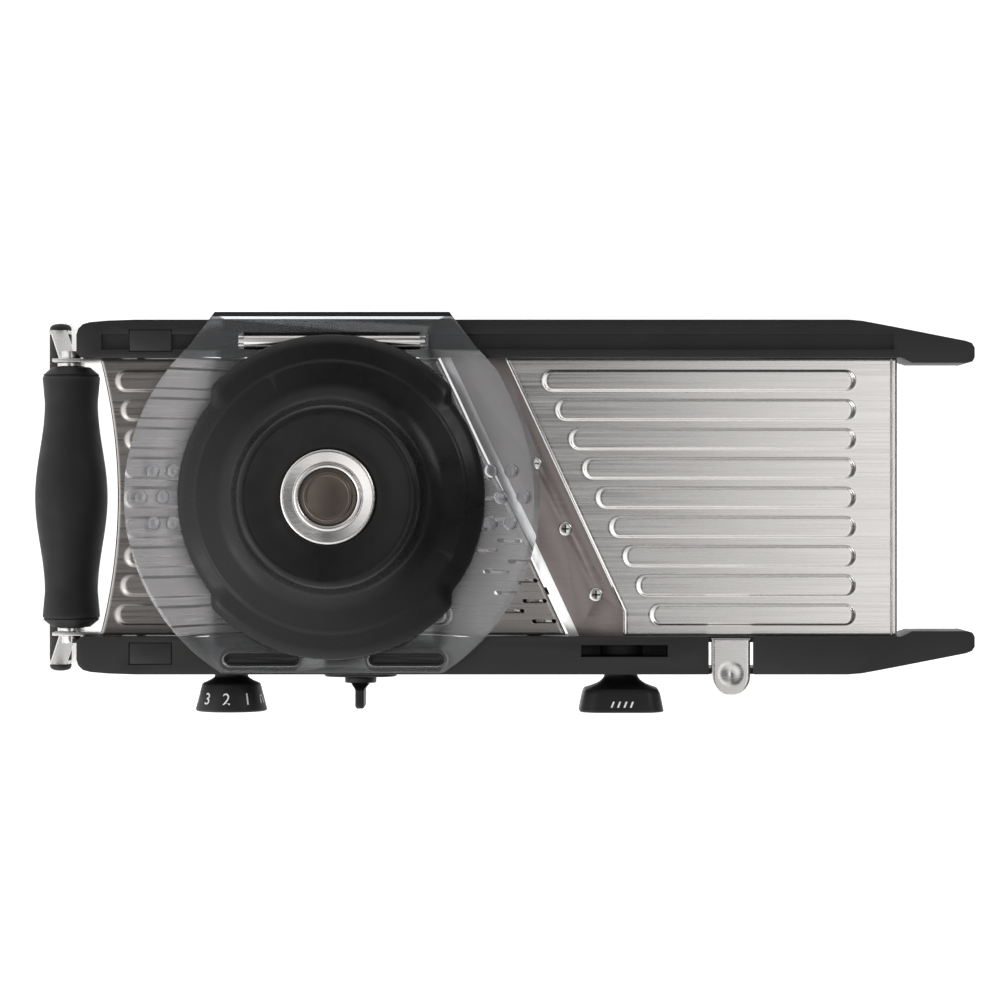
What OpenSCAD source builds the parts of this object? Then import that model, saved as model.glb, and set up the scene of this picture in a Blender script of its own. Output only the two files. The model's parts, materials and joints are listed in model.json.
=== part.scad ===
// Mandoline slicer with an adjustable runway, a fixed diagonal blade, julienne combs that rise
// through the runway, a folding stand and a sliding hand guard with a sprung plunger.
// X runs along the slide, Y across it and Z up out of the deck. The modules draw in a frame with
// Z 0 on the landing deck's top, and to_row() moves all of it to the bottom centre of the box.

/* [Body] */
// Length of the side rails
rail_l = 393.8; // [370:1:420]
// Width between the rails' inner faces
slide_w = 122.4; // [118:0.2:126]
// Width of one side rail
rail_w = 16.6; // [14:0.2:18]
// Height of the rails above the deck
rail_up = 6; // [4:0.5:8]
// Depth of the rails below the deck
rail_down = 28; // [26:1:32]
// Length of the rail tips past the landing deck
tip_l = 33.4; // [28:0.2:36]

/* [Deck] */
// Thickness of the steel sheets
sheet = 1.2; // [1:0.1:1.5]
// Height of the pressed ribs
rib_h = 0.9; // [0.6:0.1:1.2]
// Width of a pressed rib
rib_w = 9.5; // [8:0.5:10]
// Spacing of the ribs
rib_pitch = 12.87; // [12.5:0.01:13]
// Drop of the runway below the blade at rest
slice_t = 2.4; // [2.2:0.1:3]
// Lean of the blade from straight across, in degrees
blade_lean = 25; // [22:1:28]
// Width of the blade, edge to back
blade_w = 26.2; // [24:0.2:27]

/* [Handle and stand] */
// Largest radius of the grip
grip_r = 16; // [14:0.5:17]
// Drop of the stand's foot below the deck
stand_drop = 112; // [100:1:118]

/* [Hand guard] */
// Radius of the clear plate
guard_r = 91; // [88:1:94]
// Radius of the plunger's long arcs
dome_r = 70; // [66:1:72]
// Height of the plunger's knob above the deck
knob_top = 48; // [48:1:52]

/* [Hidden] */
$fn = 64;
gap = 0.5;                       // running gap between parts that move past each other
fit = 0.05;                      // radial clearance of a shaft in its bore

x_left = -187;                   // left ends of the rails
x_right = x_left + rail_l;       // right tips
y_in = slide_w / 2;
y_out = y_in + rail_w;
deck_end = x_right - tip_l;

axle_z = -15;                    // shafts of the two dials
dial_x = -120.6;                 // thickness dial
selector_x = 52.4;               // cut selector
lock_x = -63.2;                  // runway lock
release_x = 100;                 // blade release tab
shaft_r = 4;

handle_x = -191.4;
handle_z = -12;
rod_r = 3;
grip_half = 54;

leg_y = 59.4;                    // outer face of a stand leg
leg_t = 1.6;
foot_half = 82;
foot_r = 5.2;
knee = [-199, -72];              // X and Z where a leg turns outward
foot = [-209, -stand_drop];

guard_x = -74.8;
plate_z = rail_up + 0.8;         // underside of the guard's plate
plate_t = 2.2;
flange_y = 64.6;                 // where the plate steps up to its flange
flange_out = 81;
guard_cut = -77;                 // straight front edge of the plate
sleeve_r = [33, 35.5];           // inner and outer radius of the plunger's sleeve
sleeve_top = 42;
dome_z = 12.5;                   // lower edge of the dome

edge_x = 29.2;                   // X of the blade's edge at the front rail
runway_gap = 1.1;
lean = tan(blade_lean);
runway_pivot = [-160, -8];        // X and Z of the runway's pin
pin_r = 2;
comb_guide = [14, -40];          // X of the comb frame's tongues, front and back
crank_r = 4.4;                   // throw of the selector's crank pin
tie_z = [-27, -21];
tie_xs = [-95, 120];
tie_screw_y = 51;
screw_r = 1.6;                   // screws of the ties, posts and blade
blade_screw_ys = [-43, -14, 14.6];

x_min = min(handle_x - grip_r, foot[0] - foot_r);
knob_out = 95;                   // outer faces of the dials
row_shift = [(x_min + x_right) / 2, (foot_half - knob_out) / 2, foot[1] - foot_r];

// X of the blade's cutting edge at a given Y
function edge_at(y) = edge_x - (y + y_in) * lean;

module to_row() translate(-row_shift) children();
// A cylinder along Y from y0 to y1
module rod_y(x, z, r, y0, y1) translate([x, y0, z]) rotate([-90, 0, 0]) cylinder(r = r, h = y1 - y0);
// A cone along Y from radius r0 at y0 to r1 at y1
module cone_y(x, z, r0, r1, y0, y1)
    translate([x, y0, z]) rotate([-90, 0, 0]) cylinder(r1 = r0, r2 = r1, h = y1 - y0);
// A box given by its low and high corners
module span(lo, hi) translate(lo) cube(hi - lo);
// A stadium outline from x0 to x1, w wide
module slot2d(x0, x1, w) {
    translate([x0 + w / 2, 0]) circle(d = w);
    translate([x1 - w / 2, 0]) circle(d = w);
    translate([x0 + w / 2, -w / 2]) square([x1 - x0 - w, w]);
}
// Draws its children at the front and, mirrored, at the back
module both_sides() {
    children();
    mirror([0, 1, 0]) children();
}

// ---- Side rails ----
// The rail's plan outline at the back: round at its left end, and its outer edge bends in at the tip
module rail_outline() {
    polygon([
        [x_left + 2, y_in], [x_left, y_in + 2], [x_left, y_out - 6.5], [x_left + 0.8, y_out - 4],
        [x_left + 2.8, y_out - 2], [x_left + 6, y_out - 1.1], [x_left + 14, y_out - 0.4], [x_left + 26, y_out],
        [deck_end - 22, y_out], [deck_end - 16, y_out - 0.5], [deck_end - 9, y_out - 1.8],
        [deck_end, y_out - 3.5], [x_right - 3.8, y_out - 9.3], [x_right - 1.2, y_out - 10.3],
        [x_right, y_out - 12.2], [x_right, y_in], [x_right - 1, y_in - 1.8], [x_right - 3, y_in - 2.4],
        [deck_end + 6, y_in - 2.4], [deck_end + 1, y_in]
    ]);
}
// The rail without its fittings, hollow from below except for a web from x = web[0] to web[1]
module rail_shell(web) {
    difference() {
        translate([0, 0, -rail_down]) linear_extrude(rail_down + rail_up) rail_outline();
        for (x = [[x_left + 10, web[0]], [web[1], deck_end - 6]])
            span([x[0], y_in + 2.6, -rail_down - 1], [x[1], y_out - 2.6, rail_up - 4]);
        // inset panel and the notch that sets off the end cap
        span([-164, y_out - 14, rail_up - 0.8], [-145, y_out - 4.4, rail_up + 1]);
        // the underside rises at the tip, where the pad sits
        span([deck_end + 4, y_in - 4, -rail_down - 1], [x_right - 4, y_out, -rail_down + 3]);
    }
}
drum_r = 10.5;
drum_web = [selector_x - 22, selector_x + 24];
module rail_back() {
    color("#1b1b1c") difference() {
        rail_shell(drum_web);
        span([-176, 64.7, rail_up - 1.6], [deck_end - 2, 71.3, rail_up + 1]);
        rod_y(dial_x, axle_z, shaft_r + fit, y_in - 1, y_in + 3);
        rod_y(runway_pivot[0], runway_pivot[1], pin_r + fit, y_in - 1, y_in + 3);
        guide_slot(comb_guide[1]);
    }
}
module rail_front() {
    color("#1b1b1c") difference() {
        mirror([0, 1, 0]) rail_shell(drum_web);
        for (x = [dial_x, selector_x, lock_x]) rod_y(x, axle_z, 6.5, -y_out - 1, -y_in + 1);
        // window over the selector's bush, with the bush's drum in it
        span([34.3, -70.1, -9], [72.2, -64.9, rail_up + 1]);
        rod_y(selector_x, axle_z, drum_r + gap, -70.1, -64.9);
        // bed of the release tab
        span([release_x - 9.8, -y_out - 1, rail_up - 4], [release_x + 9.8, -y_in + 1, rail_up + 1]);
        rod_y(runway_pivot[0], runway_pivot[1], pin_r + fit, -y_in - 3, -y_in + 1);
        mirror([0, 1, 0]) guide_slot(comb_guide[0]);
        // slot under the tab, for its lug
        span([release_x - 3.3, -74, 0], [release_x + 3.3, -64.4, rail_up]);
    }
}
// Upright slot in the inner face, for a tongue of the comb frame
module guide_slot(x) span([x - 3.3, y_in - 1, -24], [x + 3.3, y_in + 3, -6]);

module panel_back() {
    color("#161617") span([-163.8, y_out - 13.8, rail_up - 0.8], [-145.2, y_out - 4.6, rail_up - 0.1]);
}
module panel_front() mirror([0, 1, 0]) panel_back();

module tip_pad_back() {
    color("#0e0e0e") difference() {
        span([deck_end + 4, y_in - 1.6, -rail_down - 1.5], [x_right - 4, y_in + 6, -rail_down + 3]);
        for (x = [deck_end + 9, x_right - 10])
            span([x, y_in - 2, -rail_down - 2], [x + 1.5, y_in + 7, -rail_down - 0.9]);
    }
}
module tip_pad_front() mirror([0, 1, 0]) tip_pad_back();

// A shouldered bush in the front rail, for a shaft
module bush(x) {
    color("#2c2c2e") difference() {
        union() {
            rod_y(x, axle_z, 6.5, -y_out, -y_in);
            rod_y(x, axle_z, 8.5, -y_in, -y_in + 1.2);
        }
        rod_y(x, axle_z, shaft_r + fit, -y_out - 1, -y_in + 2);
    }
}
module dial_bush() bush(dial_x);
module selector_bush() {
    bush(selector_x);
    color("#2c2c2e") difference() {
        rod_y(selector_x, axle_z, drum_r, -69.6, -65.4);
        rod_y(selector_x, axle_z, 6, -70, -65);
    }
}
module lock_bush() bush(lock_x);

// ---- Cross ties under the decks ----
module tie(x) {
    color("#202022") difference() {
        span([x - 7, -y_in, tie_z[0]], [x + 7, y_in, tie_z[1]]);
        for (y = [-tie_screw_y, tie_screw_y]) translate([x, y, tie_z[0] - 1]) cylinder(r = screw_r, h = 12);
    }
}
module tie_left() tie(tie_xs[0]);
module tie_right() tie(tie_xs[1]);
module deck_post(x, y) translate([x, y, tie_z[1]]) difference() {
    cylinder(r = 4, h = -sheet - tie_z[1]);
    translate([0, 0, -1]) cylinder(r = screw_r, h = 12);
}
module deck_posts() color("#202022") for (y = [-tie_screw_y, tie_screw_y]) deck_post(tie_xs[1], y);
// A pan-head screw from below with its head under the tie
module tie_screw(x, y) translate([x, y, 0]) {
    translate([0, 0, tie_z[0] - 2]) difference() {
        cylinder(r = 3.2, h = 2);
        translate([0, 0, -0.1]) cross(1.9, 0.7, 1);
    }
    translate([0, 0, tie_z[0]]) cylinder(r = screw_r, h = 9);
}
module cross(half, w, h) {
    translate([-half, -w / 2, 0]) cube([2 * half, w, h]);
    translate([-w / 2, -half, 0]) cube([w, 2 * half, h]);
}
module tie_screws() color("silver") for (x = tie_xs, y = [-tie_screw_y, tie_screw_y]) tie_screw(x, y);

// ---- Landing deck, blade and its carrier ----
// Each rib starts further right than the one behind it, along the blade
function rib_y(i) = 51.2 - rib_pitch * i;
module deck_rib(x0, x1, y, z) translate([0, y, z]) linear_extrude(rib_h) slot2d(x0, x1, rib_w);
module landing_deck() {
    back = blade_w / cos(blade_lean);
    corner_y = -y_in + 11;
    color("#a8a6a4") difference() {
        union() {
            translate([0, 0, -sheet]) linear_extrude(sheet) polygon([
                [edge_at(y_in) + back + 0.4, y_in], [deck_end, y_in], [deck_end, -y_in],
                [edge_at(corner_y) + back + 0.4, -y_in], [edge_at(corner_y) + back + 0.4, corner_y]
            ]);
            for (i = [0:8]) deck_rib(17.1 + 5.92 * i, 155.3, rib_y(i), 0);
            // hem at the end, turned down
            span([deck_end - sheet, -y_in, -8], [deck_end, y_in, 0]);
            for (s = [-1, 1]) span([tie_xs[1] - 20, min(s * y_in, s * (y_in - sheet)), -8],
                [deck_end, max(s * y_in, s * (y_in - sheet)), 0]);
        }
        // room for the release tab
        span([release_x - 9.8, -y_in - 1, -9], [release_x + 9.8, -y_in + 2, 1]);
    }
}
function blade_screw(y) = [edge_at(y) + blade_w / cos(blade_lean) * 0.7, y];
module blade() {
    back = blade_w / cos(blade_lean);
    corner_y = -y_in + 11;
    bevel = 4.4;
    color("#6f6462") difference() {
        translate([0, 0, -sheet]) linear_extrude(sheet) polygon([
            [edge_at(y_in), y_in], [edge_at(y_in) + back, y_in], [edge_at(corner_y) + back, corner_y],
            [edge_at(corner_y) + back, -y_in], [edge_at(-y_in), -y_in]
        ]);
        // ground bevel on the upper face
        translate([edge_at(0), 0, -sheet + 0.15]) rotate([0, 0, blade_lean])
            rotate([0, -atan((sheet - 0.15) / (bevel * cos(blade_lean))), 0])
                translate([-10, -90, 0]) cube([30, 180, 5]);
        for (y = blade_screw_ys) translate([blade_screw(y)[0], y, -2]) cylinder(r = screw_r, h = 4);
    }
}
module blade_carrier() {
    color("#232325") difference() {
        translate([0, 0, -sheet - 5]) linear_extrude(5) polygon([
            [edge_at(y_in) + 8, y_in], [edge_at(y_in) + 22, y_in],
            [edge_at(-y_in) + 22, -y_in], [edge_at(-y_in) + 8, -y_in]
        ]);
        for (y = blade_screw_ys) translate([blade_screw(y)[0], y, -sheet - 6]) cylinder(r = screw_r, h = 7);
    }
}
module blade_screws() {
    color("silver") for (y = blade_screw_ys) translate([blade_screw(y)[0], y, 0]) {
        difference() {
            cylinder(r1 = 3.1, r2 = 2.5, h = 0.5);
            translate([0, 0, 0.15]) cross(1.7, 0.7, 1);
        }
        translate([0, 0, -sheet - 4.5]) cylinder(r = screw_r, h = sheet + 4.5);
    }
}

// ---- Runway ----
runway_z = -slice_t;
runway_half = y_in - 0.4;
arc_r = 244;                     // radius of the hollow left end
arc_x = -169.8;
// X of the hollow left end at a given Y
function arc_at(y) = arc_x - arc_r + sqrt(arc_r * arc_r - y * y);
comb_pitch = 9;
comb_back = [8, 20];             // distances of the two slot rows behind the blade's edge
comb_rows = [[for (k = [0:12]) -54.8 + comb_pitch * k], [for (k = [0:11]) -50.2 + comb_pitch * k]];
module runway() {
    z0 = runway_z - sheet;
    color("#8f8c8a") difference() {
        union() {
            translate([0, 0, z0]) linear_extrude(sheet) difference() {
                polygon([
                    [-179, -runway_half], [edge_at(-runway_half) - runway_gap, -runway_half],
                    [edge_at(runway_half) - runway_gap, runway_half], [-179, runway_half]
                ]);
                translate([arc_x - arc_r, 0]) circle(r = arc_r, $fn = 360);
            }
            for (i = [0:8]) deck_rib(arc_at(rib_y(i)) + 4.5, edge_at(rib_y(i)) - 48, rib_y(i), runway_z);
        }
        for (row = [0, 1], y = comb_rows[row])
            translate([edge_at(y) - comb_back[row], y, z0 - 1]) linear_extrude(4) slot2d(-5.3, 5.3, 1.8);
    }
}
// Lugs under the runway's left end, which hold its pin
module runway_lugs() {
    color("#232325") difference() {
        for (y = [-54, -2, 50]) translate([runway_pivot[0], y, 0])
            span([-4, 0, runway_pivot[1] - 4], [4, 4, runway_z - sheet]);
        rod_y(runway_pivot[0], runway_pivot[1], pin_r, -y_in, y_in);
    }
}
module runway_pin() color("silver") rod_y(runway_pivot[0], runway_pivot[1], pin_r, -y_in - 2.2, y_in + 2.2);
module runway_stiffener(y) color("#232325") span([-105, y - 1.5, -9], [-45, y + 1.5, runway_z - sheet]);
module runway_stiffener_front() runway_stiffener(-38);
module runway_stiffener_back() runway_stiffener(38);
module runway_rider() color("#232325") span([dial_x - 9, -8, -8.3], [dial_x + 9, 8, runway_z - sheet]);

// ---- Thickness dial ----
module dial_knob() {
    color("#19191a") difference() {
        translate([dial_x, 0, axle_z]) rotate([90, 0, 0]) rotate_extrude() polygon([
            [0, 78.2], [7.6, 78.2], [7.6, 80.4], [13.2, 83.2], [16, 94.2], [15.2, knob_out], [0, knob_out]
        ]);
        rod_y(dial_x, axle_z, shaft_r, -91, -77);
    }
}
module dial_shaft() color("silver") rod_y(dial_x, axle_z, shaft_r, -91, y_in + 2.2);
// The eccentric that carries the runway's rider
module dial_cam() {
    color("#3a3a3c") difference() {
        rod_y(dial_x + 0.85, axle_z + 0.85, 5.5, -6, 6);
        rod_y(dial_x, axle_z, shaft_r, -7, 7);
    }
}

// ---- Cut selector ----
// Plan of the knob's block: a square with its corners cut off
module knob_outline(half, chamfer) polygon([
    [half, half - chamfer], [half - chamfer, half], [chamfer - half, half], [-half, half - chamfer],
    [-half, chamfer - half], [chamfer - half, -half], [half - chamfer, -half], [half, chamfer - half]
]);
module selector_knob() {
    color("#19191a") difference() {
        intersection() {
            translate([selector_x, 0, axle_z]) rotate([90, 0, 0]) rotate_extrude() polygon([
                [0, 78.2], [7.4, 78.2], [7.6, 79.6], [9.2, 81.4], [12, 83], [16.4, 84.6], [26, 88],
                [26, knob_out], [0, knob_out]
            ]);
            translate([selector_x, 0, axle_z]) rotate([90, 0, 0]) hull() {
                translate([0, 0, 76]) linear_extrude(1) knob_outline(14.2, 4.2);
                translate([0, 0, 94]) linear_extrude(1) knob_outline(18.6, 5.6);
            }
        }
        rod_y(selector_x, axle_z, shaft_r, -91, -77);
    }
}
pin_place = [selector_x - crank_r * cos(60), axle_z - crank_r * sin(60)];
module selector_shaft() color("silver") rod_y(selector_x, axle_z, shaft_r, -91, -44);
module selector_crank() {
    color("#3a3a3c") difference() {
        union() {
            rod_y(selector_x, axle_z, 8, -47.5, -44.2);
            rod_y(pin_place[0], pin_place[1], 1.5, -44.3, -39.4);
        }
        rod_y(selector_x, axle_z, shaft_r, -50, -44);
    }
}

// ---- Julienne combs and the frame that lifts them ----
comb_base = -20;
module comb_frame() {
    color("#3a3a3c") difference() {
        union() {
            translate([0, 0, comb_base]) linear_extrude(2) polygon([
                [edge_at(-58) - 26, -58], [edge_at(-58) - 2, -58],
                [edge_at(58) - 2, 58], [edge_at(58) - 26, 58]
            ]);
            // tongues in the rails' slots
            span([comb_guide[0] - 3, -y_in - 2.2, comb_base], [comb_guide[0] + 3, -57, comb_base + 4]);
            span([comb_guide[1] - 3, 57, comb_base], [comb_guide[1] + 3, y_in + 2.2, comb_base + 4]);
            // arm and yoke
            span([8, -43.4, comb_base], [56, -40.2, comb_base + 2]);
            span([43, -43.4, comb_base - 3.6], [56, -40.2, pin_place[1] + 5]);
        }
        span([45.6, -44, pin_place[1] - 1.95], [52.6, -40, pin_place[1] + 1.95]);
    }
}
module comb(row) {
    color("#c4c2c0") {
        translate([0, 0, comb_base + 2]) linear_extrude(1.6) polygon([
            for (c = [[-3.5, -57], [3.5, -57], [3.5, 57], [-3.5, 57]])
                [edge_at(c[1]) - comb_back[row] + c[0], c[1]]
        ]);
        for (y = comb_rows[row]) comb_tooth(edge_at(y) - comb_back[row], y);
    }
}
comb_tip = -8.2;
module comb_tooth(x, y) translate([x, y + 0.5, comb_base + 3])
    rotate([90, 0, 0]) linear_extrude(1) polygon([
        [-3.4, 0], [3.4, 0], [3.4, comb_tip - comb_base - 3], [-3.4, comb_tip - comb_base - 6]
    ]);
module comb_fine() comb(0);
module comb_coarse() comb(1);

// ---- Runway lock ----
module lock_plate() {
    color("#19191a") difference() {
        translate([lock_x, -y_out, axle_z]) rotate([90, 0, 0]) linear_extrude(1.8) slot2d(-16, 16, 20);
        rod_y(lock_x, axle_z, shaft_r + fit, -81, -77);
    }
}
module lock_lever() {
    color("#19191a") difference() {
        union() {
            rod_y(lock_x, axle_z, 7, -82.2, -79.9);
            span([lock_x - 2.2, -93.4, axle_z - 11], [lock_x + 2.2, -82, axle_z + 11]);
        }
        rod_y(lock_x, axle_z, shaft_r - 2.4, -90, -79);
    }
}
module lock_shaft() {
    color("silver") {
        rod_y(lock_x, axle_z, shaft_r - 2.4, -90, -79.9);
        rod_y(lock_x, axle_z, shaft_r, -79.9, -56);
        span([lock_x - 2, -59.6, axle_z - 7], [lock_x + 2, -56.4, axle_z - 2]);
    }
}

// ---- Release tab ----
tab_r = 8.9;                     // half width of the tab and radius of its end
module release_tab() {
    color("#b5b2ae") {
        translate([release_x, 0, rail_up - 3.7]) linear_extrude(1.4) union() {
            translate([0, -78.6]) circle(r = tab_r);
            translate([-tab_r, -78.6]) square([2 * tab_r, 16.6]);
        }
        span([release_x - 3, -69, 1], [release_x + 3, -65, rail_up - 3.6]);
    }
}

// ---- Handle ----
function grip_at(y) = let (t = abs(y) / 42)
    t < 1 ? 11.7 + (grip_r - 11.7) * (0.5 + 0.5 * cos(180 * t)) : 11.7 + 1.1 * (t - 1) / 0.29;
module grip() {
    color("#141414") difference() {
        translate([handle_x, 0, handle_z]) rotate([90, 0, 0]) rotate_extrude() polygon(concat(
            [[0, -grip_half]], [for (i = [-12:12]) [grip_at(i * 4.5), i * 4.5]], [[0, grip_half]]
        ));
        rod_y(handle_x, handle_z, rod_r, -60, 60);
    }
}
module grip_cap_front() {
    color("#141414") difference() {
        cone_y(handle_x, handle_z, 8.4, 12.6, -57.5, -grip_half);
        rod_y(handle_x, handle_z, rod_r, -60, -50);
    }
}
module grip_cap_back() mirror([0, 1, 0]) grip_cap_front();
module handle_rod() color("silver") rod_y(handle_x, handle_z, rod_r, -64.4, 64.4);
module handle_nuts() {
    color("silver") both_sides() difference() {
        rod_y(handle_x, handle_z, 4.2, 61.3, 64.6);
        rod_y(handle_x, handle_z, rod_r, 60, 64.4);
    }
}
module bracket_back() {
    color("#b5b2ae") difference() {
        span([-199, 59.7, -22], [-168, y_in, -5]);
        rod_y(handle_x, handle_z, rod_r, 59, 62);
    }
}
module bracket_front() mirror([0, 1, 0]) bracket_back();

// ---- Folding stand ----
// A flat strip in the XZ plane between two points, w wide
module strip(a, b, w) {
    n = [b[1] - a[1], a[0] - b[0]] * w / 2 / norm(b - a);
    polygon([a + n, b + n, b - n, a - n]);
}
module leg_back() {
    axle = [handle_x, handle_z];
    color("#cfcdca") difference() {
        union() {
            translate([0, leg_y, 0]) rotate([90, 0, 0]) linear_extrude(leg_t) union() {
                strip(axle, knee, 9);
                translate(axle) circle(r = 6);
                translate(knee) circle(r = 4.5);
            }
            hull() {
                span([knee[0] - 3.6, leg_y - leg_t, knee[1] - 3], [knee[0] + 3.6, leg_y, knee[1] + 1]);
                span([foot[0] - 3.6, 77, foot[1] + 6], [foot[0] + 3.6, 78.6, foot[1] + 8]);
            }
            span([foot[0] - 4.6, 77, foot[1] - 4.6], [foot[0] + 4.6, 78.6, foot[1] + 8]);
        }
        rod_y(axle[0], axle[1], rod_r + fit, 50, 70);
        rod_y(foot[0], foot[1], rod_r, 70, 80);
    }
}
module leg_front() mirror([0, 1, 0]) leg_back();
module foot_rod() color("silver") rod_y(foot[0], foot[1], rod_r, -79.6, 79.6);
module foot_sleeve() {
    color("#0e0e0e") difference() {
        rod_y(foot[0], foot[1], foot_r, -76.9, 76.9);
        rod_y(foot[0], foot[1], rod_r, -80, 80);
    }
}
cap_y = 78.7;                    // inner face of a foot cap
module foot_caps() {
    color("#0e0e0e") both_sides() difference() {
        translate([foot[0], cap_y, foot[1]]) rotate([-90, 0, 0]) rotate_extrude() polygon([
            [0, 0], [foot_r, 0], [foot_r, 1.6], [foot_r - 1.6, foot_half - cap_y], [0, foot_half - cap_y]
        ]);
        rod_y(foot[0], foot[1], rod_r, 70, 79.6);
    }
}

// ---- Hand guard ----
clear = [0.85, 0.88, 0.9, 0.35];
glide_x = [-30.8, 32.6];
glide_y = -71.2;
window = [38.6, 64.5, 72.2];     // half length and the two Ys of the pin's window
module guard_outline() {
    intersection() {
        circle(r = guard_r, $fn = 128);
        translate([-100, guard_cut]) square([200, flange_y - guard_cut]);
    }
    polygon([[-63.8, flange_y - 0.1], [-51.3, flange_out], [51.3, flange_out], [63.8, flange_y - 0.1]]);
}
bump_rows = [[-11.4, 69.5, 77.9], [0, 73.9, 83.6], [11.4, 69.5, 78.3]];  // Y, then the two distances out
module guard_plate() {
    color(clear) translate([guard_x, 0, plate_z]) difference() {
        union() {
            linear_extrude(plate_t) guard_outline();
            // hook over the back rail
            span([-51.3, flange_out - 2, -11], [51.3, flange_out, plate_t]);
            for (s = [0, 1]) mirror([s, 0, 0])
                span([window[0], 65, 0], [window[0] + 3.4, 71.4, plate_t + 1.4]);
            for (x = glide_x) translate([x, glide_y, 0]) linear_extrude(plate_t + 0.9)
                slot2d(-18.8, 18.8, 10.6);
        }
        translate([0, 0, -20]) cylinder(r = sleeve_r[1], h = 40);
        span([-window[0], window[1], -1], [window[0], window[2], 5]);
        rod_y_as_x(-41, 41, 68.2, 0.8, 2.9);
        for (x = glide_x) translate([x, glide_y, -1]) linear_extrude(6) slot2d(-16.5, 16.5, 5.8);
    }
}
module rod_y_as_x(x0, x1, y, z, r) translate([x0, y, z]) rotate([0, 90, 0]) cylinder(r = r, h = x1 - x0);
module guard_pin() color("silver") translate([guard_x, 0, plate_z]) rod_y_as_x(-40.8, 40.8, 68.2, 0.8, 2.9);
module guard_glide(x) {
    color("#0f0f10") translate([guard_x + x, glide_y, rail_up + 0.1]) linear_extrude(2.9)
        slot2d(-16.5, 16.5, 5.8);
}
module guard_glide_left() guard_glide(glide_x[0]);
module guard_glide_right() guard_glide(glide_x[1]);
module guard_bumps() {
    color(clear) translate([guard_x, 0, plate_z + plate_t])
        for (row = bump_rows, s = [-1, 1], k = [1, 2]) translate([s * row[k], row[0], 0])
            intersection() {
                translate([0, 0, -1.4]) sphere(r = 3.4);
                cylinder(r = 4, h = 4);
            }
}
module guard_sleeve() {
    color(clear) translate([guard_x, 0, 0]) difference() {
        translate([0, 0, 3.4]) cylinder(r = sleeve_r[1], h = sleeve_top - 3.4);
        translate([0, 0, 0]) cylinder(r = sleeve_r[0], h = sleeve_top - 2);
        cylinder(r = 7, h = 60);
    }
}

// ---- Plunger ----
cap_r = 10.6;
// Outline of the dome's shell, as radius and height
module dome_profile() polygon([
    [dome_r + 1, dome_z], [dome_r + 1, dome_z + 3], [dome_r - 2.5, dome_z + 5.6], [58.4, 20.6],
    [48, 24.6], [42.6, 28.6], [39.9, 34], [39.4, knob_top - 3], [38.2, knob_top - 0.8],
    [36, knob_top], [33, knob_top - 0.6],
    [26, knob_top - 2.4], [20.4, knob_top - 3], [20.4, knob_top - 5],
    [36.4, knob_top - 5], [36.4, 30],
    [44, 21.4], [57.6, 17.6], [dome_r - 4.4, dome_z + 3], [dome_r - 1.6, dome_z]
]);
module dome() {
    wedge = 100;                 // longer than any radius
    lobe = 42;                   // where the long arcs start, in degrees from X
    color("#1a1a1b") translate([guard_x, 0, 0]) intersection() {
        rotate_extrude($fn = 128) dome_profile();
        union() {
            cylinder(r = dome_r - 3.4, h = wedge, $fn = 128);
            for (s = [-1, 1]) linear_extrude(wedge) polygon([
                [0, 0], wedge * [cos(lobe), s * sin(lobe)], wedge * [0, s * 1.4],
                wedge * [-cos(lobe), s * sin(lobe)]
            ]);
        }
    }
}
module dome_ring() {
    color("#c9c5be") translate([guard_x, 0, 0]) rotate_extrude($fn = 96) polygon([
        [20.4, knob_top - 5], [20.4, knob_top - 1.6], [19.4, knob_top - 1], [14.4, knob_top - 2],
        [13, knob_top - 1.4], [12.2, knob_top - 2.2], [12.2, knob_top - 5]
    ]);
}
module dome_cap() {
    color("#4b433e") translate([guard_x, 0, knob_top - 5]) rotate_extrude() polygon([
        [0, 0], [12.2, 0], [12.2, 0.8], [cap_r, 0.8], [cap_r, 3], [cap_r - 0.5, 3.4],
        [9.2, 3.4], [8.9, 3.1], [0, 3.1]
    ]);
}
pusher_z = [9.6, 13];
module pusher() {
    color("#1a1a1b") translate([guard_x, 0, 0]) {
        difference() {
            translate([0, 0, pusher_z[0]]) cylinder(r = sleeve_r[0] - 0.5, h = pusher_z[1] - pusher_z[0]);
            for (p = prong_places) translate([p[0], p[1], 0]) cylinder(r = 0.9, h = 12);
        }
        translate([0, 0, pusher_z[1]]) cylinder(r = 6, h = knob_top - 5 - pusher_z[1]);
    }
}
prong_places = concat(
    [for (a = [0:60:300]) 11 * [cos(a), sin(a)]], [for (a = [0:30:330]) 23 * [cos(a), sin(a)]]
);
module prongs() color("silver") translate([guard_x, 0, 0]) for (p = prong_places) translate([p[0], p[1], 2]) {
    cylinder(r1 = 0.2, r2 = 0.9, h = 2);
    translate([0, 0, 2]) cylinder(r = 0.9, h = 8);
}
spring_r = 9.5;
spring_wire = 1;
spring_turns = 5;
// The coil as a stack of rings, held between the pusher and the sleeve's end
module plunger_spring() {
    free = sleeve_top - 2 - pusher_z[1] - 2 * spring_wire;
    color("silver") translate([guard_x, 0, pusher_z[1] + spring_wire])
        for (i = [0:spring_turns]) translate([0, 0, free * i / spring_turns]) rotate_extrude()
            translate([spring_r, 0]) circle(r = spring_wire, $fn = 16);
}

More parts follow.
